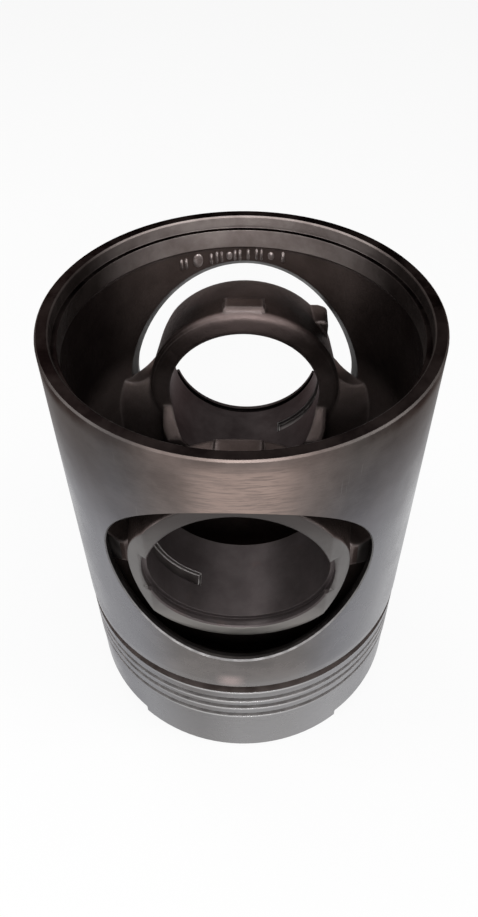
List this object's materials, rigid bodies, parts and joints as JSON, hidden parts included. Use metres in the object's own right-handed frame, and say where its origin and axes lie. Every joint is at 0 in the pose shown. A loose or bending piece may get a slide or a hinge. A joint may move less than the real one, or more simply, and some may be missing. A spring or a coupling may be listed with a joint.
{
  "type": "trunk piston",
  "caption": "Cast iron trunk piston standing on its crown, with ring grooves, an open skirt with oval windows and pin bosses on webs.",
  "frame": {"origin": "centre of the crown face, which the piston stands on", "axes": "+Z along the piston axis towards the open end of the skirt, +Y along the piston pin"},
  "size_m": [0.2197, 0.2198, 0.292],
  "materials": {
    "cast_iron": "turned outside with a satin sheen, dark as-cast inside"
  },
  "bodies": {
    "root": {"piston": "cast_iron"}
  },
  "joints": []
}
